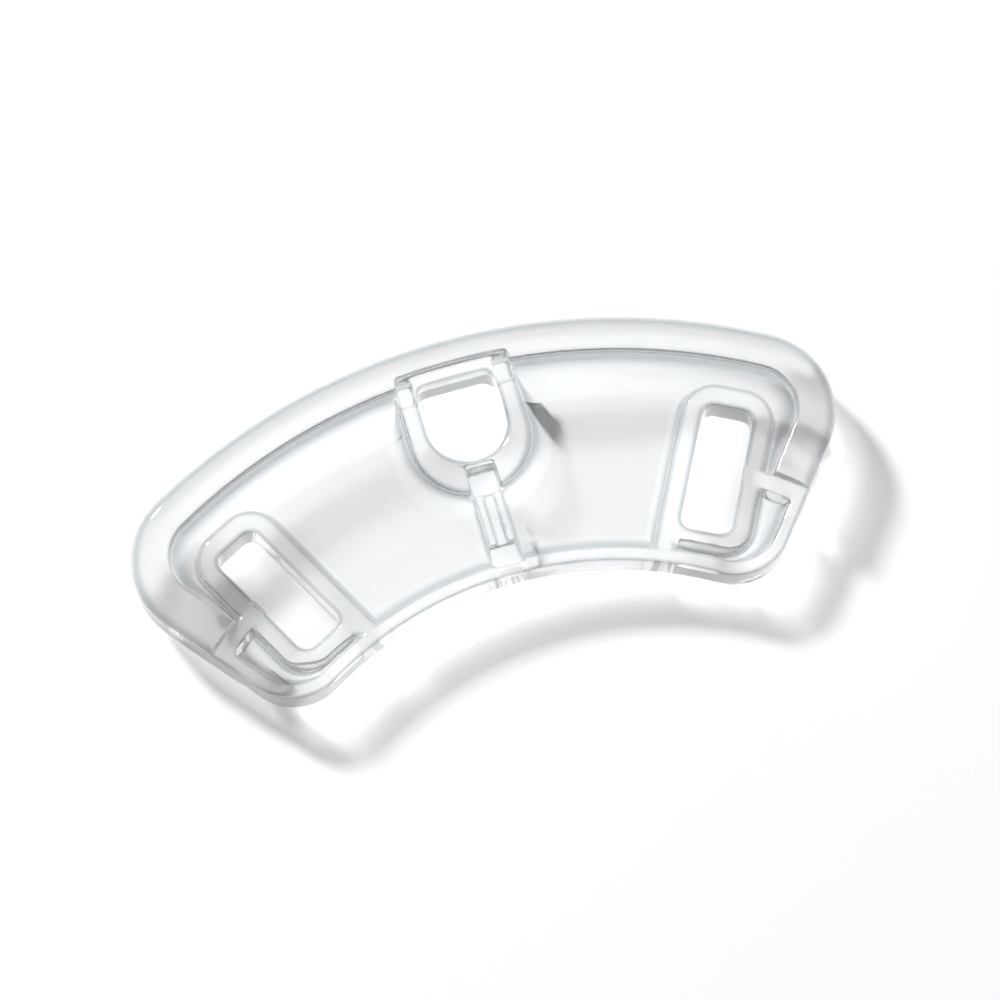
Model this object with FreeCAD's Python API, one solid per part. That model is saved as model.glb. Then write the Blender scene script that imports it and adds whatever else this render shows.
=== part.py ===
import FreeCAD, Part
import math
import os

os.makedirs("parts", exist_ok=True)

V = FreeCAD.Vector
UP = V(0, 0, 1)

# The moulding is drawn round the centre of its arcs, with its mid-line along +Y and its
# underside on Z = 0, and shifted at the end so that the origin is under the middle of its box.

# Overall sizes, in mm and degrees
OUTER_R = 55.0
INNER_R = 32.8
HALF_ANGLE = 39.0
RIM_H = 5.2
LOW_H = 4.0
WEB_T = 1.3
OUTER_CORNER_R = 7.25
INNER_CORNER_R = 5.0

# Outer rim section
RIM_TOP_W = 3.4
RIM_FOOT = 3.2
RIM_BEAD_R = 1.6
RIM_UNDER_R = 0.8
RIM_LIP_R = 0.35
RIM_END_RADIUS = 42.3

# Inner rim section
INNER_TOP_W = 1.2
INNER_FOOT = 1.9
INNER_BEAD_R = 0.6

# Window frames
WINDOW_ANGLE = 27.9
WINDOW_START = 36.25
WINDOW_LENGTH = 11.55
WINDOW_W = 4.35
WINDOW_CORNER_R = 1.0
FRAME_TOP_W = 1.9
FRAME_FOOT = 0.9

# Centre eyelet
HOLE_W = 7.0
HOLE_TIP = 43.7
HOLE_BACK = 51.4
HOLE_CORNER_R = 1.0
HOLE_LIP_R = 0.8
EYELET_TOP_W = 1.8
EYELET_FOOT = 1.8
EYELET_TIP = 40.8
LIP_R = 0.88
BAY_BACK = 52.45
BAY_W = 10.1
BAY_PIT_W = 1.4
BAY_PIT_LENGTH = 2.3
PIT_FLOOR = 1.9
PIT_CORNER_R = 0.3

# Centre rib
RIB_W = 2.4
RIB_H = 3.3
RIB_FOOT = 0.7
RIB_GROOVE_W = 1.0
RIB_GROOVE_DEPTH = 0.7
RIB_EDGE_R = 0.3
RIB_PIT_W = 2.6
RIB_PIT_LENGTH = 2.3
RIB_PIT_OVERLAP = 0.2

# End gussets
GUSSET_W = 1.4

# How far cutting tools run past the faces that they cut, and the shortest edge drawn
CLEAR = 1.0
SMALLEST_EDGE = 0.001

# Derived sizes
HOLE_R = HOLE_W / 2
HOLE_CENTRE = HOLE_TIP + HOLE_R
EYELET_HALF = HOLE_R + EYELET_TOP_W
EYELET_CENTRE = EYELET_TIP + EYELET_HALF
RIM_FOOT_W = RIM_TOP_W + RIM_FOOT
INNER_FOOT_W = INNER_TOP_W + INNER_FOOT
FRAME_FOOT_W = FRAME_TOP_W + FRAME_FOOT
RIM_FOOT_R = OUTER_R - RIM_FOOT_W
INNER_TOP_R = INNER_R + INNER_TOP_W
GUSSET_LOW = RIM_END_RADIUS - GUSSET_W
INNER_FOOT_R = INNER_R + INNER_FOOT_W


def polar(radius, angle):
    """A point in plan, with the angle in degrees clockwise from +Y."""
    turn = math.radians(angle)
    return V(radius * math.sin(turn), radius * math.cos(turn), 0)


def unit(angle):
    return polar(1, angle)


def rounded_wire(corners):
    """A closed wire through (point, radius) corners, each rounded by its radius."""
    edges = []
    starts = []
    count = len(corners)
    for index in range(count):
        point, radius = corners[index]
        before = (corners[index - 1][0] - point).normalize()
        after = (corners[(index + 1) % count][0] - point).normalize()
        if radius == 0:
            starts.append((point, None, point))
            continue
        half = before.getAngle(after) / 2
        reach = radius / math.tan(half)
        middle = (before + after).normalize()
        arc_middle = point + middle * (radius / math.sin(half) - radius)
        starts.append((point + before * reach, arc_middle, point + after * reach))
    for index in range(count):
        begin, arc_middle, end = starts[index]
        if arc_middle is not None:
            edges.append(Part.Arc(begin, arc_middle, end).toShape())
        following = starts[(index + 1) % count][0]
        if end.distanceToPoint(following) > SMALLEST_EDGE:
            edges.append(Part.makeLine(end, following))
    return Part.Wire(edges)


def section(start, normal, corners):
    """A section face standing on a plan point, with its width along the normal."""
    placed = [(start + normal * n + UP * z, radius) for n, z, radius in corners]
    return Part.Face(rounded_wire(placed))


def plan_prism(corners, bottom, top):
    """A vertical prism over (x, y, radius) corners."""
    placed = [(V(x, y, bottom), radius) for x, y, radius in corners]
    return Part.Face(rounded_wire(placed)).extrude(V(0, 0, top - bottom))


def ring(inside, outside, bottom, top):
    height = top - bottom
    outer = Part.makeCylinder(outside, height, V(0, 0, bottom))
    return outer.cut(Part.makeCylinder(inside, height, V(0, 0, bottom)))


def wedge(low_angle, high_angle, bottom, top):
    """The part of the plan between two angles from the arc centre."""
    reach = 2 * OUTER_R
    near = polar(reach, low_angle)
    far = polar(reach, high_angle)
    return plan_prism([(0, 0, 0), (near.x, near.y, 0), (far.x, far.y, 0)], bottom, top)


def fuse_all(shapes):
    joined = shapes[0]
    for shape in shapes[1:]:
        joined = joined.fuse(shape)
    return joined.removeSplitter()


def mirrored(shape):
    return shape.mirror(V(0, 0, 0), V(1, 0, 0))


def both_sides(shape):
    return [shape, mirrored(shape)]


def swept_line(start, end, normal, corners):
    return section(start, normal, corners).extrude(end - start)


def swept_arc(centre, start, normal, turn, corners):
    return section(start, normal, corners).revolve(centre, UP, turn)


def outer_rim_band():
    """The tall rounded rim along the outer arc, round the corners and down the ends."""
    corners = [
        (0, 0, RIM_UNDER_R),
        (0, RIM_H, RIM_BEAD_R),
        (RIM_TOP_W, RIM_H, RIM_LIP_R),
        (RIM_TOP_W, WEB_T, RIM_FOOT),
        (RIM_FOOT_W, WEB_T, 0),
        (RIM_FOOT_W, 0, 0),
    ]
    turn = math.degrees(math.asin(OUTER_CORNER_R / (OUTER_R - OUTER_CORNER_R)))
    tangent = HALF_ANGLE - turn
    centre = polar(OUTER_R - OUTER_CORNER_R, tangent)
    line_end = math.sqrt((OUTER_R - OUTER_CORNER_R) ** 2 - OUTER_CORNER_R ** 2)
    inward = unit(HALF_ANGLE - 90)
    main = swept_arc(V(0, 0, 0), polar(OUTER_R, tangent), unit(tangent) * -1, tangent, corners)
    corner = swept_arc(centre, polar(line_end, HALF_ANGLE), inward, 90 + turn, corners)
    end = swept_line(
        polar(RIM_END_RADIUS, HALF_ANGLE), polar(line_end, HALF_ANGLE), inward, corners
    )
    return both_sides(main) + both_sides(corner) + both_sides(end)


def inner_rim_band():
    """The lower rim along the inner arc, round the inner corners and up to the end steps."""
    corners = [
        (0, 0, INNER_BEAD_R),
        (0, LOW_H, INNER_BEAD_R),
        (INNER_TOP_W, LOW_H, RIM_LIP_R),
        (INNER_TOP_W, WEB_T, INNER_FOOT),
        (INNER_FOOT_W, WEB_T, 0),
        (INNER_FOOT_W, 0, 0),
    ]
    turn = math.degrees(math.asin(INNER_CORNER_R / (INNER_R + INNER_CORNER_R)))
    tangent = HALF_ANGLE - turn
    centre = polar(INNER_R + INNER_CORNER_R, tangent)
    line_start = math.sqrt((INNER_R + INNER_CORNER_R) ** 2 - INNER_CORNER_R ** 2)
    inward = unit(HALF_ANGLE - 90)
    main = swept_arc(V(0, 0, 0), polar(INNER_R, tangent), unit(tangent), tangent, corners)
    corner = swept_arc(centre, polar(line_start, HALF_ANGLE), inward, turn - 90, corners)
    end = swept_line(
        polar(line_start, HALF_ANGLE),
        polar(RIM_END_RADIUS + RIM_TOP_W, HALF_ANGLE),
        inward,
        corners,
    )
    return both_sides(main) + both_sides(corner) + both_sides(end)


def web_plate():
    """The thin web between the rims, kept clear of their rounded outer edges."""
    inset = INNER_TOP_W
    apex = inset / math.sin(math.radians(HALF_ANGLE))
    reach = 2 * OUTER_R
    corner = polar(reach, HALF_ANGLE) + V(0, apex, 0)
    span = plan_prism([(0, apex, 0), (corner.x, corner.y, 0), (-corner.x, corner.y, 0)], 0, WEB_T)
    plate = ring(INNER_R + inset, OUTER_R - inset, 0, WEB_T).common(span)
    outer = [e for e in plate.Edges if is_upright(e) and radius_of(e) > RIM_FOOT_R]
    plate = plate.makeFillet(OUTER_CORNER_R - inset, outer)
    inner = [e for e in plate.Edges if is_upright(e) and radius_of(e) < INNER_R + INNER_FOOT_W]
    return plate.makeFillet(INNER_CORNER_R - inset, inner)


def is_upright(edge):
    ends = edge.Vertexes
    flat = math.hypot(ends[0].X - ends[-1].X, ends[0].Y - ends[-1].Y)
    return edge.Length > WEB_T / 2 and flat < edge.Length / 1000


def radius_of(edge):
    return math.hypot(edge.Vertexes[0].X, edge.Vertexes[0].Y)


def turned(shape, angle):
    """Turns a shape drawn along +Y clockwise to an angle about the arc centre."""
    turned_shape = shape.copy()
    turned_shape.rotate(V(0, 0, 0), UP, -angle)
    return turned_shape


def collar_section(top_w, foot, height):
    return [
        (0, 0, 0),
        (0, height, LIP_R),
        (top_w, height, LIP_R),
        (top_w, WEB_T, foot),
        (top_w + foot, WEB_T, 0),
        (top_w + foot, 0, 0),
    ]


def window_frame_band():
    """The raised collar round one window, drawn along +Y and turned to the right."""
    corners = collar_section(FRAME_TOP_W, FRAME_FOOT, LOW_H)
    half = WINDOW_W / 2
    flat = half - WINDOW_CORNER_R
    low = WINDOW_START
    high = WINDOW_START + WINDOW_LENGTH
    low_centre = low + WINDOW_CORNER_R
    high_centre = high - WINDOW_CORNER_R
    side = swept_line(V(half, low_centre, 0), V(half, high_centre, 0), V(1, 0, 0), corners)
    tail = swept_line(V(-half, INNER_TOP_R, 0), V(-half, low_centre, 0), V(-1, 0, 0), corners)
    far = swept_line(V(-flat, high, 0), V(flat, high, 0), V(0, 1, 0), corners)
    near = swept_line(V(-flat, low, 0), V(flat, low, 0), V(0, -1, 0), corners)
    far_corner = swept_arc(
        V(flat, high_centre, 0), V(half, high_centre, 0), V(1, 0, 0), 90, corners
    )
    near_corner = swept_arc(
        V(flat, low_centre, 0), V(half, low_centre, 0), V(1, 0, 0), -90, corners
    )
    pieces = both_sides(side) + both_sides(far_corner) + both_sides(near_corner)
    pieces += [far, near, tail]
    return [turned(piece, WINDOW_ANGLE) for piece in pieces]


def window_hole():
    half = WINDOW_W / 2
    low = WINDOW_START
    high = WINDOW_START + WINDOW_LENGTH
    radius = WINDOW_CORNER_R
    outline = [(-half, low, radius), (half, low, radius), (half, high, radius), (-half, high, radius)]
    return turned(plan_prism(outline, -CLEAR, RIM_H + CLEAR), WINDOW_ANGLE)


def eyelet_collar():
    """The raised collar round the D-shaped hole, with a softened edge round the hole."""
    flare = [
        (-LIP_R, 0, 0),
        (-LIP_R, LOW_H, 0),
        (EYELET_TOP_W, LOW_H, LIP_R),
        (EYELET_TOP_W, WEB_T, EYELET_FOOT),
        (EYELET_TOP_W + EYELET_FOOT, WEB_T, 0),
        (EYELET_TOP_W + EYELET_FOOT, 0, 0),
    ]
    start = V(HOLE_R, EYELET_CENTRE, 0)
    side = swept_line(start, V(HOLE_R, BAY_BACK, 0), V(1, 0, 0), flare)
    tip = swept_arc(V(0, EYELET_CENTRE, 0), start, V(1, 0, 0), -180, flare)
    core = stadium(HOLE_R, EYELET_TIP + EYELET_TOP_W, BAY_BACK, 0, 0, LOW_H)
    collar = fuse_all(both_sides(side) + [tip, core]).cut(eyelet_hole())
    edges = [e for e in collar.Edges if is_hole_lip(e)]
    return collar.makeFillet(HOLE_LIP_R, edges)


def is_hole_lip(edge):
    box = edge.BoundBox
    level = box.ZMin > LOW_H - SMALLEST_EDGE
    inside = max(box.XMax, -box.XMin) < HOLE_R + SMALLEST_EDGE
    return level and inside and box.YMax < HOLE_BACK + SMALLEST_EDGE


def stadium(half, tip, back, corner_r, bottom, top):
    """A prism with a round end towards the arc centre and square corners at its back."""
    round_end = Part.makeCylinder(half, top - bottom, V(0, tip + half, bottom))
    outline = [(-half, tip + half, 0), (half, tip + half, 0), (half, back, corner_r)]
    outline.append((-half, back, corner_r))
    return round_end.fuse(plan_prism(outline, bottom, top)).removeSplitter()


def eyelet_hole():
    return stadium(HOLE_R, HOLE_TIP, HOLE_BACK, HOLE_CORNER_R, -CLEAR, RIM_H + CLEAR)


def eyelet_bay():
    """The notch in the outer rim behind the eyelet, with a deeper pit in each corner."""
    half = BAY_W / 2
    radius = PIT_CORNER_R
    side_back = math.sqrt(BAY_BACK ** 2 - half ** 2)
    outline = [
        (-half, HOLE_CENTRE, 0),
        (half, HOLE_CENTRE, 0),
        (half, BAY_BACK, 0),
        (-half, BAY_BACK, 0),
    ]
    notch = plan_prism(outline, LOW_H, RIM_H + CLEAR)
    notch = notch.common(Part.makeCylinder(BAY_BACK, RIM_H + CLEAR))
    pit_outline = [
        (half - BAY_PIT_W, side_back - BAY_PIT_LENGTH, radius),
        (half, side_back - BAY_PIT_LENGTH, radius),
        (half, side_back, radius),
        (half - BAY_PIT_W, side_back, radius),
    ]
    pit = plan_prism(pit_outline, PIT_FLOOR, RIM_H + CLEAR)
    return [notch] + both_sides(pit)


def rib_band():
    """The short grooved rib from the eyelet to the inner rim."""
    half = RIB_W / 2
    groove = RIB_GROOVE_W / 2
    floor = RIB_H - RIB_GROOVE_DEPTH
    right = [
        (groove, floor, RIB_EDGE_R),
        (groove, RIB_H, 0),
        (half, RIB_H, RIB_EDGE_R),
        (half, WEB_T, RIB_FOOT),
        (half + RIB_FOOT, WEB_T, 0),
        (half + RIB_FOOT, 0, 0),
    ]
    left = [(-n, z, radius) for n, z, radius in reversed(right)]
    return swept_line(V(0, INNER_TOP_R, 0), V(0, EYELET_TIP, 0), V(1, 0, 0), left + right)


def rib_pits():
    """The small pit at each end of the rib."""
    return [rib_pit(INNER_FOOT_R - RIB_PIT_LENGTH), rib_pit(EYELET_TIP - RIB_PIT_OVERLAP)]


def rib_pit(start):
    half = RIB_PIT_W / 2
    end = start + RIB_PIT_LENGTH
    radius = PIT_CORNER_R
    outline = [(-half, start, radius), (half, start, radius), (half, end, radius), (-half, end, radius)]
    return plan_prism(outline, PIT_FLOOR, RIM_H + CLEAR)


def end_prism(inside, outside, low, high, top):
    """A prism on the right-hand end edge: distances in from the edge, then along it."""
    outline = [(-inside, low, 0), (-outside, low, 0), (-outside, high, 0), (-inside, high, 0)]
    return turned(plan_prism(outline, 0, top), HALF_ANGLE)


def gusset_bar():
    """The cross bar from the window frame to the step in the end of the outer rim."""
    return end_prism(INNER_TOP_W, RIM_FOOT_W, GUSSET_LOW, RIM_END_RADIUS, LOW_H)


def whole_moulding():
    solids = [web_plate()] + outer_rim_band() + inner_rim_band()
    solids += [eyelet_collar(), rib_band()]
    for piece in window_frame_band() + [gusset_bar()]:
        solids += both_sides(piece)
    moulding = fuse_all(solids)
    cuts = both_sides(window_hole()) + [eyelet_hole()] + eyelet_bay() + rib_pits()
    for cut in cuts:
        moulding = moulding.cut(cut)
    return moulding.removeSplitter()


def disc(radius):
    return Part.makeCylinder(radius, RIM_H)


def eyelet_region():
    foot = EYELET_FOOT
    collar = stadium(EYELET_HALF + foot, EYELET_TIP - foot, RIM_FOOT_R, 0, 0, RIM_H)
    half = EYELET_HALF
    back = plan_prism(
        [(-half, HOLE_CENTRE, 0), (half, HOLE_CENTRE, 0), (half, BAY_BACK, 0), (-half, BAY_BACK, 0)],
        0,
        RIM_H,
    )
    return collar.common(disc(RIM_FOOT_R)).fuse(back.common(disc(BAY_BACK)))


def frame_prism(margin):
    """The plan of a window frame out to a margin round its hole."""
    half = WINDOW_W / 2 + margin
    low = WINDOW_START - margin
    high = WINDOW_START + WINDOW_LENGTH + margin
    radius = WINDOW_CORNER_R + margin
    outline = [(-half, low, 0), (half, low, radius), (half, high, radius), (-half, high, radius)]
    return turned(plan_prism(outline, 0, RIM_H), WINDOW_ANGLE)


def frame_region():
    return frame_prism(FRAME_FOOT_W).cut(disc(INNER_TOP_R))


def rib_region():
    half = RIB_W / 2 + RIB_FOOT
    outline = [(-half, INNER_R, 0), (half, INNER_R, 0), (half, HOLE_TIP, 0), (-half, HOLE_TIP, 0)]
    return plan_prism(outline, 0, RIM_H).cut(disc(INNER_FOOT_R))


def inner_rim_region():
    turn = math.degrees(math.asin(INNER_CORNER_R / (INNER_R + INNER_CORNER_R)))
    tangent = HALF_ANGLE - turn
    front = disc(INNER_TOP_R).common(wedge(-tangent, tangent, 0, RIM_H))
    middle = disc(INNER_FOOT_R).common(wedge(-WINDOW_ANGLE, WINDOW_ANGLE, 0, RIM_H))
    return front.fuse(middle)


def corner_region():
    wide = end_prism(-CLEAR, OUTER_R / 2, 0, RIM_END_RADIUS, RIM_H)
    return wide.common(wedge(WINDOW_ANGLE, HALF_ANGLE + CLEAR, 0, RIM_H))


def gusset_region():
    bar = end_prism(INNER_TOP_W, OUTER_R / 2, GUSSET_LOW, RIM_END_RADIUS, RIM_H)
    bar = bar.common(wedge(WINDOW_ANGLE, HALF_ANGLE, 0, RIM_H))
    return bar.cut(frame_prism(FRAME_TOP_W))


def pane_region():
    return disc(RIM_FOOT_R).common(wedge(0, WINDOW_ANGLE, 0, RIM_H))


def split_members(moulding):
    """Shares the moulding out between its members, each taking its region of what is left."""
    members = {}
    rest = moulding
    regions = [("centre_eyelet", eyelet_region())]
    regions += sided("end_gusset", gusset_region())
    regions += sided("window_frame", frame_region())
    regions += [("inner_rim", inner_rim_region()), ("centre_rib", rib_region())]
    regions += sided("corner_pocket", corner_region())
    regions += sided("pane", pane_region())
    for name, region in regions:
        members[name] = rest.common(region)
        rest = rest.cut(region)
    members["outer_rim"] = rest
    return members


def sided(name, region):
    return [("right_" + name, region), ("left_" + name, mirrored(region))]


def box_centre_y():
    turn = math.degrees(math.asin(INNER_CORNER_R / (INNER_R + INNER_CORNER_R)))
    corner = polar(INNER_R + INNER_CORNER_R, HALF_ANGLE - turn)
    return (OUTER_R + corner.y - INNER_CORNER_R) / 2


shift = V(0, -box_centre_y(), 0)
for name, member in split_members(whole_moulding()).items():
    member.translate(shift)
    member.exportStep("parts/" + name + ".step")
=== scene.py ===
import math

import bpy
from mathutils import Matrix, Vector


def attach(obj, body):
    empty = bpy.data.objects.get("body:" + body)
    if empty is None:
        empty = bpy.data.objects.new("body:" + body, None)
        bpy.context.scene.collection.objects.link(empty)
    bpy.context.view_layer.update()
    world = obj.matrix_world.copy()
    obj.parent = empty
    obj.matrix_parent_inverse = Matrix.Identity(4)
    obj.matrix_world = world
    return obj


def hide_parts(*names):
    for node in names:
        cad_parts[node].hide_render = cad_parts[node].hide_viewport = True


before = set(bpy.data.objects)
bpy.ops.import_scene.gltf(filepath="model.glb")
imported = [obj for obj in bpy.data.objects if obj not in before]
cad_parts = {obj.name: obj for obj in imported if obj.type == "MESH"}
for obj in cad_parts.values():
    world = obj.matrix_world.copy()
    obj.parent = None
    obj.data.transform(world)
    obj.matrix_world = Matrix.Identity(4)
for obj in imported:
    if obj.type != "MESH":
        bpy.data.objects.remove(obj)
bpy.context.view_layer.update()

MM = 0.001


# The moulding. The real retractor is shot in one go from a clear, hard plastic and polished, so
# its members run into each other with soft edges. The nodes are merged into one blank, whose
# edges are softened, and the sections below part their members from it, face to face.

BLANK_GRAIN = 0.14 * MM
BLANK_SOFTENING = 14
BLANK_WELD = 0.001 * MM


def select_only(thing):
    bpy.ops.object.select_all(action="DESELECT")
    thing.select_set(True)
    bpy.context.view_layer.objects.active = thing


def apply_modifier(thing, kind, **settings):
    select_only(thing)
    modifier = thing.modifiers.new(kind.title(), kind)
    for name, value in settings.items():
        setattr(modifier, name, value)
    bpy.ops.object.modifier_apply(modifier=modifier.name)


def copy_of(thing, name):
    twin = thing.copy()
    twin.data = thing.data.copy()
    twin.name = name
    bpy.context.collection.objects.link(twin)
    return twin


def merged_blank(nodes):
    copies = [copy_of(node, "blank") for node in nodes]
    bpy.ops.object.select_all(action="DESELECT")
    for copy in copies:
        copy.select_set(True)
    bpy.context.view_layer.objects.active = copies[0]
    bpy.ops.object.join()
    blank = bpy.context.object
    bpy.ops.object.mode_set(mode="EDIT")
    bpy.ops.mesh.select_all(action="SELECT")
    bpy.ops.mesh.remove_doubles(threshold=BLANK_WELD)
    bpy.ops.object.mode_set(mode="OBJECT")
    apply_modifier(blank, "REMESH", mode="VOXEL", voxel_size=BLANK_GRAIN, adaptivity=0)
    apply_modifier(blank, "SMOOTH", factor=0.5, iterations=BLANK_SOFTENING)
    bpy.ops.object.shade_smooth()
    return blank


class Value:
    """A number that changes over a surface, and takes part in sums."""

    def __init__(self, paint, socket):
        self.paint = paint
        self.socket = socket

    def joined(self, operation, first, second):
        return self.paint.add("ShaderNodeMath", {"operation": operation}, {0: first, 1: second})

    def __add__(self, other):
        return self.joined("ADD", self, other)

    def __radd__(self, other):
        return self.joined("ADD", other, self)

    def __mul__(self, other):
        return self.joined("MULTIPLY", self, other)

    def __rmul__(self, other):
        return self.joined("MULTIPLY", other, self)

    def __sub__(self, other):
        return self.joined("SUBTRACT", self, other)

    def __rsub__(self, other):
        return self.joined("SUBTRACT", other, self)

    def __gt__(self, other):
        return self.joined("GREATER_THAN", self, other)


class Paint:
    """The nodes of one material, or of the room."""

    def __init__(self, tree):
        self.tree = tree

    def add(self, kind, settings=None, sockets=None, output=0):
        node = self.tree.nodes.new(kind)
        for name, value in (settings or {}).items():
            setattr(node, name, value)
        self.feed(node, sockets or {})
        return Value(self, node.outputs[output])

    def feed(self, node, sockets):
        for name, value in sockets.items():
            if isinstance(value, Value):
                self.tree.links.new(value.socket, node.inputs[name])
            else:
                node.inputs[name].default_value = value

    def colour_mix(self, share, first, second):
        node = self.tree.nodes.new("ShaderNodeMix")
        node.data_type = "RGBA"
        self.feed(node, {0: share, 6: first, 7: second})
        return Value(self, node.outputs[2])

    def shader_mix(self, share, first, second):
        return self.add("ShaderNodeMixShader", None, {0: share, 1: first, 2: second})

    def see_through(self, colour=(1, 1, 1, 1)):
        return self.add("ShaderNodeBsdfTransparent", None, {"Color": colour})

    def smooth_step(self, value, low, high, low_value=0.0, high_value=1.0):
        sockets = {0: value, 1: low, 2: high, 3: low_value, 4: high_value}
        return self.add("ShaderNodeMapRange", {"interpolation_type": "SMOOTHSTEP"}, sockets)

    def noise(self, scale, detail=2.0):
        place = self.add("ShaderNodeTexCoord", output="Object")
        return self.add("ShaderNodeTexNoise", None, {"Vector": place, "Scale": scale, "Detail": detail})

    def ray(self, question):
        return self.add("ShaderNodeLightPath", output=question)


# The body: how much it bends light, how it is polished, and a painted shade on its slopes, a grey base
# colour which comes in with the slope and goes again towards an upright wall.
PLASTIC_INDEX = 1.49
POLISH_GRAIN = 900.0
WAVE_GRAIN = 260.0
WAVE_HEIGHT = 0.05 * MM
SLOPE_STARTS = 0.05
SLOPE_FULL = 0.4
WALL_STARTS = 0.45
WALL_FULL = 0.8
WALL_SHARE = 0.3
RIM_TINT = (0.80, 0.81, 0.808, 1)
# Painted shade for the slopes, standing in for the dark room they bend in, not a colour of the plastic.
PAINTED_SLOPE_SHADE = (0.36, 0.395, 0.41, 1)
# A ray with more reflections inside than this is let straight out.
MOST_REFLECTIONS = 1.5
# Its shadow: clear low down and shaded higher up, most on the near side and the ends.
SHADE_LOW = 1.5 * MM
SHADE_HIGH = 2.6 * MM
END_SHARE = 0.45
FAR_SIDE = 0.0
NEAR_SIDE = 8 * MM
FAR_SHADE = 0.2
LIT_THROUGH = (0.975, 0.975, 0.98, 1)
SHADED_THROUGH = (0.45, 0.42, 0.425, 1)


def clear_plastic(name, tint, roughest, waviness, rim_shade):
    """Polished clear plastic that bends light, with painted shade on its slopes, and lets lamps through
    with a soft rim shadow.
    """
    material = bpy.data.materials.new(name)
    material.use_nodes = True
    paint = Paint(material.node_tree)
    body = material.node_tree.nodes["Principled BSDF"]
    polish = paint.smooth_step(paint.noise(POLISH_GRAIN), 0.3, 0.7, 0.0, roughest)
    ripple = {"Strength": waviness, "Distance": WAVE_HEIGHT, "Height": paint.noise(WAVE_GRAIN, 1.0)}
    waves = paint.add("ShaderNodeBump", None, ripple)
    facing = paint.add("ShaderNodeLayerWeight", None, {"Blend": 0.5}, output="Facing")
    slope = paint.smooth_step(facing, SLOPE_STARTS, SLOPE_FULL)
    # How much painted shade greys the base colour: it grows on slopes seen at a slant and eases towards
    # an upright wall.
    depth = slope * paint.smooth_step(facing, WALL_STARTS, WALL_FULL, 1.0, WALL_SHARE)
    paint.feed(body, {
        "Base Color": paint.colour_mix(depth, tint, PAINTED_SLOPE_SHADE),
        "Transmission Weight": 1.0,
        "IOR": PLASTIC_INDEX,
        "Roughness": polish,
        "Normal": waves,
    })
    place = paint.add("ShaderNodeTexCoord", output="Object")
    across, along, height = (
        paint.add("ShaderNodeSeparateXYZ", None, {0: place}, output=axis) for axis in "XYZ"
    )
    outward = paint.add("ShaderNodeMath", {"operation": "ABSOLUTE"}, {0: across})
    near = paint.smooth_step(outward * END_SHARE - along, FAR_SIDE, NEAR_SIDE, FAR_SHADE, 1.0)
    shade = paint.smooth_step(height, SHADE_LOW, SHADE_HIGH) * near * rim_shade
    through = paint.shader_mix(shade, paint.see_through(LIT_THROUGH), paint.see_through(SHADED_THROUGH))
    caught = paint.ray("Glossy Depth") > MOST_REFLECTIONS
    bending = paint.shader_mix(caught, Value(paint, body.outputs[0]), paint.see_through())
    mix = paint.shader_mix(paint.ray("Is Shadow Ray"), bending, through)
    paint.feed(material.node_tree.nodes["Material Output"], {"Surface": mix})
    return material


def contact_finish():
    """The faces where two members of the moulding run into each other, with nothing to see."""
    material = bpy.data.materials.new("moulded_through")
    material.use_nodes = True
    paint = Paint(material.node_tree)
    paint.feed(material.node_tree.nodes["Material Output"], {"Surface": paint.see_through()})
    return material


polished = clear_plastic("clear_polished", RIM_TINT, 0.03, 0.15, 1.0)
# The same plastic as the rims, except that the shadow it casts is made fainter.
collar_faint_shadow = clear_plastic("clear_collar_faint_shadow", RIM_TINT, 0.03, 0.15, 0.4)
joined_face = contact_finish()
rest = merged_blank(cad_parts.values())
rest.data.materials.clear()
rest.data.materials.append(polished)
rest.data.materials.append(joined_face)


# The centre eyelet. A raised collar round the D-shaped hole, moulded into the middle of the outer
# rim, with a notch behind it. Its plan is a round-ended block, and a narrower block in the rim.

ARC_CENTRE_Y = -41.1323
CUT_MIDDLE = 3.0
CUT_HEIGHT = 8.0
CUT_STEP = 0.2
CUT_PAST = 1.0
CUT_SIDES = 360
EYELET_HALF = 7.1
EYELET_CENTRE = 46.1
EYELET_BAY_HALF = 5.3
BAY_BACK = 52.45
RIM_FOOT_R = 48.4


def join_every_face(tool):
    for face in tool.data.polygons:
        face.material_index = 1


def face_joined(tool):
    tool.data.materials.append(polished)
    tool.data.materials.append(joined_face)
    join_every_face(tool)
    return tool


def place_of(x, y, turn):
    """A point drawn along +Y, turned clockwise about the arc centre, in metres."""
    angle = math.radians(turn)
    across = x * math.cos(angle) + y * math.sin(angle)
    along = y * math.cos(angle) - x * math.sin(angle)
    return (across * MM, (along + ARC_CENTRE_Y) * MM, CUT_MIDDLE * MM)


def cut_height(steps):
    """Cutters that are combined have different heights, so that their ends don't coincide."""
    return (CUT_HEIGHT + steps * CUT_STEP) * MM


def block(left, right, low, high, turn=0.0, steps=0):
    bpy.ops.object.select_all(action="DESELECT")
    bpy.ops.mesh.primitive_cube_add(
        size=1,
        location=place_of((left + right) / 2, (low + high) / 2, turn),
        rotation=(0, 0, -math.radians(turn)),
        scale=((right - left) * MM, (high - low) * MM, cut_height(steps)),
    )
    return face_joined(bpy.context.object)


def drum(radius, x=0.0, y=0.0, turn=0.0, steps=0):
    bpy.ops.object.select_all(action="DESELECT")
    bpy.ops.mesh.primitive_cylinder_add(
        vertices=CUT_SIDES,
        radius=radius * MM,
        depth=cut_height(steps),
        location=place_of(x, y, turn),
    )
    return face_joined(bpy.context.object)


def shaped(tool, other, operation, solver="EXACT"):
    apply_modifier(tool, "BOOLEAN", object=other, operation=operation, solver=solver)


def combined(tool, other, operation):
    shaped(tool, other, operation)
    bpy.data.objects.remove(other)
    return tool


def part_off(name, tool):
    """Parts the plan of a tool from what is left of the blank, as a closed piece."""
    piece = copy_of(rest, name)
    shaped(piece, tool, "INTERSECT", "MANIFOLD")
    shaped(rest, tool, "DIFFERENCE", "MANIFOLD")
    bpy.data.objects.remove(tool)
    return piece


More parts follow.
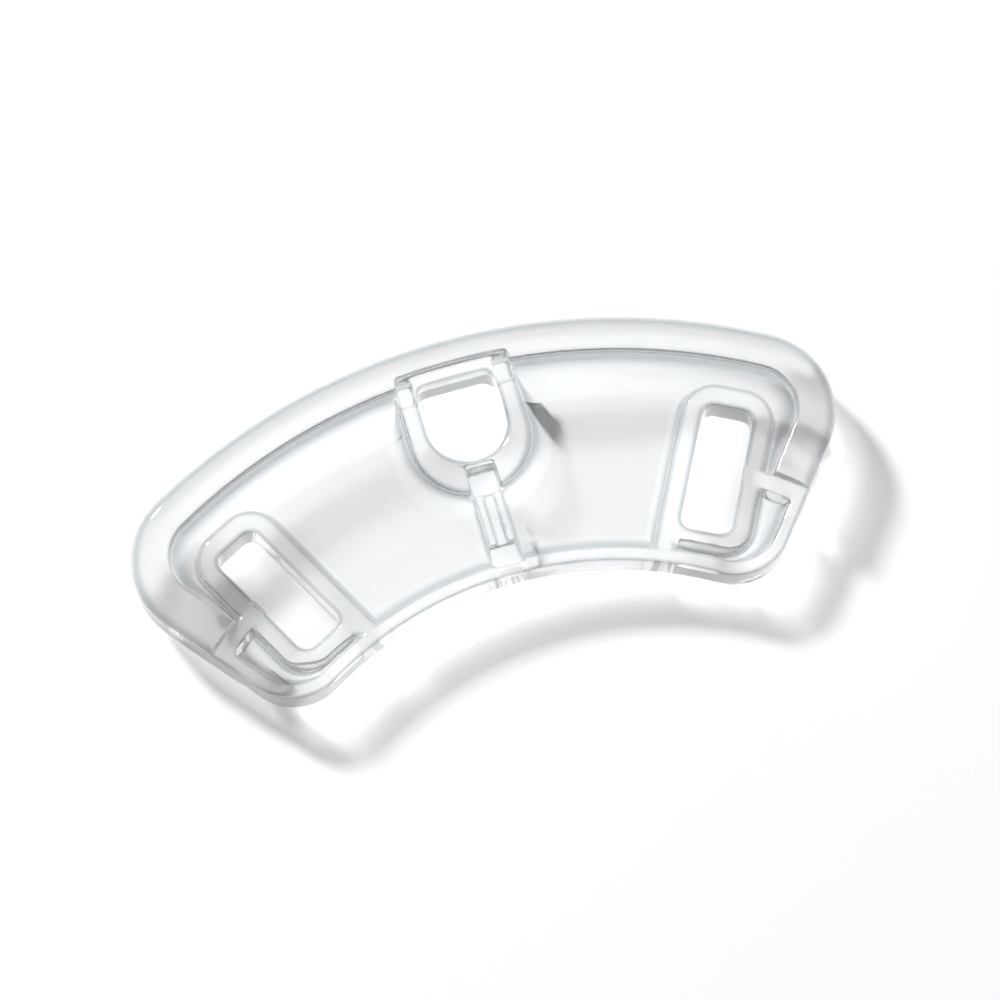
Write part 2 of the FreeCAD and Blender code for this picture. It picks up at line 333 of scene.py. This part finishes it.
def edge_joined_faces(piece):
    """Marks the borders of the joined faces sharp, so that the outside shades as one surface."""
    select_only(piece)
    bpy.ops.object.shade_smooth()
    bpy.ops.object.mode_set(mode="EDIT")
    bpy.ops.mesh.select_mode(type="FACE")
    bpy.ops.mesh.select_all(action="DESELECT")
    piece.active_material_index = 1
    bpy.ops.object.material_slot_select()
    bpy.ops.mesh.region_to_loop()
    bpy.ops.mesh.mark_sharp()
    bpy.ops.object.mode_set(mode="OBJECT")


def finish_member(piece, node, finish):
    piece.data.materials[0] = finish
    edge_joined_faces(piece)
    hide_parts(node)
    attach(piece, "root")


def round_ended_block(half, centre, back):
    """A drum, bisected through its centre, with the flat side pulled out to the back."""
    tool = drum(half, y=centre)
    bpy.ops.object.mode_set(mode="EDIT")
    bpy.ops.mesh.select_all(action="SELECT")
    bpy.ops.mesh.bisect(
        plane_co=place_of(0, centre, 0), plane_no=(0, 1, 0), use_fill=True, clear_outer=True
    )
    bpy.ops.mesh.extrude_region_move(
        TRANSFORM_OT_translate={"value": (0, (back - centre) * MM, 0)}
    )
    bpy.ops.object.mode_set(mode="OBJECT")
    join_every_face(tool)
    return tool


eyelet_plan = round_ended_block(EYELET_HALF, EYELET_CENTRE, BAY_BACK)
combined(eyelet_plan, drum(RIM_FOOT_R, steps=1), "INTERSECT")
bay_plan = block(-EYELET_BAY_HALF, EYELET_BAY_HALF, EYELET_CENTRE, BAY_BACK + CUT_PAST, steps=2)
combined(bay_plan, drum(BAY_BACK, steps=3), "INTERSECT")
combined(eyelet_plan, bay_plan, "UNION")
finish_member(part_off("eyelet_collar", eyelet_plan), "centre_eyelet", collar_faint_shadow)


# The end gussets. A short cross bar at each end ties the window frame to the step where the tall
# outer rim stops. It is moulded with both.

SIDES = {"right": 1, "left": -1}
HALF_ANGLE = 39.0
END_STEP_R = 42.3
GUSSET_LOW = 40.9
END_REACH = 8.0
END_RIM_W = 1.2
WINDOW_ANGLE = 27.9
WINDOW_HALF = 2.175
WINDOW_LOW = 36.25
WINDOW_HIGH = 47.8
FRAME_TOP_MARGIN = 1.9
FRAME_FOOT_MARGIN = 2.8
FRAME_CORNER = 1.0


def mirrored_block(side, left, right, low, high, turn):
    if SIDES[side] < 0:
        left, right = -right, -left
    return block(left, right, low, high, turn * SIDES[side])


def frame_plan(side, margin):
    """The plan of a window frame out to a margin round its hole, with round outer corners."""
    turn = WINDOW_ANGLE * SIDES[side]
    half = WINDOW_HALF + margin
    corner = FRAME_CORNER + margin
    plan = block(-half, half, WINDOW_LOW - margin, WINDOW_HIGH + margin - corner, turn)
    flat = half - corner
    combined(plan, block(-flat, flat, WINDOW_LOW, WINDOW_HIGH + margin, turn), "UNION")
    for x in (-flat, flat):
        combined(plan, drum(corner, x, WINDOW_HIGH + margin - corner, turn), "UNION")
    return plan


for side in SIDES:
    bar = mirrored_block(side, -END_REACH, -END_RIM_W, GUSSET_LOW, END_STEP_R, HALF_ANGLE)
    combined(bar, frame_plan(side, FRAME_TOP_MARGIN), "DIFFERENCE")
    finish_member(part_off(side + "_gusset_bar", bar), side + "_end_gusset", collar_faint_shadow)


# The window frames. A raised, round-topped collar stands round each slot. It is moulded up from
# the web and runs into both rims.

INNER_TOP_R = 34.0

for side in SIDES:
    plan = combined(frame_plan(side, FRAME_FOOT_MARGIN), drum(INNER_TOP_R), "DIFFERENCE")
    finish_member(part_off(side + "_window_collar", plan), side + "_window_frame", collar_faint_shadow)


# The inner rim. The lower of the two rims follows the short arc, and is moulded with the web.
# Between the windows its plan takes in its foot, which is wider than its top.

INNER_FOOT_R = 35.9
INNER_FRONT_ANGLE = 31.4


def slice_of(radius, low_turn, high_turn):
    """A drum about the arc centre, bisected to the slice between two turns."""
    tool = drum(radius)
    bpy.ops.object.mode_set(mode="EDIT")
    for turn, way in ((low_turn, -1), (high_turn, 1)):
        angle = math.radians(turn)
        bpy.ops.mesh.select_all(action="SELECT")
        bpy.ops.mesh.bisect(
            plane_co=(0, ARC_CENTRE_Y * MM, 0),
            plane_no=(way * math.cos(angle), -way * math.sin(angle), 0),
            use_fill=True,
            clear_outer=True,
        )
    bpy.ops.object.mode_set(mode="OBJECT")
    join_every_face(tool)
    return tool


inner_plan = slice_of(INNER_TOP_R, -INNER_FRONT_ANGLE, INNER_FRONT_ANGLE)
combined(inner_plan, slice_of(INNER_FOOT_R, -WINDOW_ANGLE, WINDOW_ANGLE), "UNION")
finish_member(part_off("inner_rim_band", inner_plan), "inner_rim", polished)


# The centre rib. A short grooved rib ties the eyelet to the inner rim and stiffens the web. It is
# moulded up from the web between them.

RIB_HALF = 1.9

rib_plan = block(-RIB_HALF, RIB_HALF, INNER_FOOT_R - CUT_PAST, EYELET_CENTRE)
finish_member(part_off("grooved_rib", rib_plan), "centre_rib", collar_faint_shadow)


# The corner pockets. Beyond each window the web dips between the frame, the inner rim's corner
# and the gusset, and makes a small pocket with a rounded outer corner.

for side in SIDES:
    pocket_plan = mirrored_block(side, -END_REACH, CUT_PAST, 0, END_STEP_R, HALF_ANGLE)
    finish_member(part_off(side + "_pocket_wall", pocket_plan), side + "_corner_pocket", polished)


# The panes. The thin flat web fills the space between the eyelet and each window. It is the same
# plastic, a little greyer and more wavy than the polished rims.

WEB_TINT = (0.77, 0.773, 0.768, 1)
web_finish = clear_plastic("clear_web", WEB_TINT, 0.05, 0.3, 0.4)

for side in SIDES:
    turns = sorted((0, WINDOW_ANGLE * SIDES[side]))
    pane = part_off(side + "_web_pane", slice_of(RIM_FOOT_R, *turns))
    finish_member(pane, side + "_pane", web_finish)


# The outer rim. The tall rounded rim follows the long arc and turns down both ends as far as the
# steps. It is what is left of the moulding.

rest.name = "outer_rim_band"
finish_member(rest, "outer_rim", polished)


# The table. A plain white sheet, on which the moulding lies flat, a hair's breadth above it.

TABLE_SIZE = 2
TABLE_GAP = 0.02 * MM
PAPER_TINT = (0.955, 0.95, 0.953, 1)
PAPER_GRAIN = 40.0

bpy.ops.object.select_all(action="DESELECT")
bpy.ops.mesh.primitive_plane_add(size=TABLE_SIZE, location=(0, 0, -TABLE_GAP))
floor = bpy.context.object
floor.name = "floor"
paper = bpy.data.materials.new("white_paper")
paper.use_nodes = True
paper_paint = Paint(paper.node_tree)
grain = paper_paint.noise(PAPER_GRAIN)
paper_paint.feed(paper.node_tree.nodes["Principled BSDF"], {
    "Base Color": PAPER_TINT,
    "Roughness": paper_paint.smooth_step(grain, 0.2, 0.8, 0.85, 1.0),
    "Specular IOR Level": 0.0,
})
floor.data.materials.append(paper)


# The studio. One soft lamp stands low behind the moulding on the left, in a white room with a
# bright glow about the lamp, and darker walls at the back right and on the left. The plastic shows
# all of that in its edges, and the table is lit by an even share of the room.

LAMP_WAY = Vector((-0.380, 0.795, 0.469)).normalized()
LAMP_DISTANCE = 1.2
LAMP_SIZE = 0.14
LAMP_POWER = 19.5
BACK_WALL_WAY = (0.45, 1, 0.25)
LEFT_WALL_WAY = (-1, 0.1, 0.3)
GLOW_WAY = (-0.35, 0.74, 0.55)
GLOW_BRIGHTNESS = 5.0
TABLE_SHARE = 0.45
ROOM_TINT = (0.99, 0.995, 1.0, 1)

bpy.ops.object.light_add(type="AREA", location=LAMP_WAY * LAMP_DISTANCE)
lamp = bpy.context.object
lamp.name = "window_lamp"
lamp.data.size = LAMP_SIZE
lamp.data.energy = LAMP_POWER
lamp.visible_transmission = False
lamp.rotation_euler = LAMP_WAY.to_track_quat("Z", "Y").to_euler()

room = bpy.data.worlds.new("room")
room.use_nodes = True
bpy.context.scene.world = room
air = Paint(room.node_tree)


def towards(way, low, high, low_value, high_value):
    """A brightness that changes with the way looked at, about one direction."""
    place = air.add("ShaderNodeTexCoord", output="Generated")
    dot = air.add("ShaderNodeVectorMath", {"operation": "DOT_PRODUCT"},
                  {0: place, 1: Vector(way).normalized()}, output="Value")
    return air.smooth_step(dot, low, high, low_value, high_value)


# A ray counts as bounced once it has met the table. One that is sampled from the table hasn't
# counted that bounce as diffuse yet. Room light that reaches the table through the plastic comes
# by sampling alone, so bent rays bring none.
crossed = air.ray("Glossy Depth") + air.ray("Transmission Depth")
bounced = air.ray("Ray Depth") - crossed > 0.5
sampled = air.ray("Ray Depth") - crossed - air.ray("Diffuse Depth") > 0.5
bent = (air.ray("Transmission Depth") > 2.5) * (1 - sampled)
back_wall = towards(BACK_WALL_WAY, 0.2, 0.85, 1.0, 0.2)
left_wall = towards(LEFT_WALL_WAY, 0.45, 0.9, 1.0, 0.15)
glow = towards(GLOW_WAY, 0.86, 0.97, 0.0, GLOW_BRIGHTNESS)
seen = back_wall * left_wall + glow
strength = bounced * (1 - bent) * TABLE_SHARE + (1 - bounced) * seen
air.feed(room.node_tree.nodes["Background"], {"Color": ROOM_TINT, "Strength": strength})
bpy.context.scene.view_settings.view_transform = "Standard"


# The camera. It looks down on the middle of the moulding from the front left.

CAMERA_TURN = math.radians(-16.2049)
CAMERA_RISE = math.radians(71.2597)
CAMERA_DISTANCE = 0.362682
CAMERA_LENS = 150.05
CAMERA_NEAREST = 0.005
LOOK_AT = Vector((0.0011558, -0.0004408, 0))
back = Vector((
    math.sin(CAMERA_TURN) * math.cos(CAMERA_RISE),
    -math.cos(CAMERA_TURN) * math.cos(CAMERA_RISE),
    math.sin(CAMERA_RISE),
))
bpy.ops.object.select_all(action="DESELECT")
bpy.ops.object.camera_add(location=LOOK_AT + back * CAMERA_DISTANCE)
camera = bpy.context.object
camera.rotation_euler = back.to_track_quat("Z", "Y").to_euler()
camera.data.lens = CAMERA_LENS
camera.data.clip_start = CAMERA_NEAREST
bpy.context.scene.camera = camera
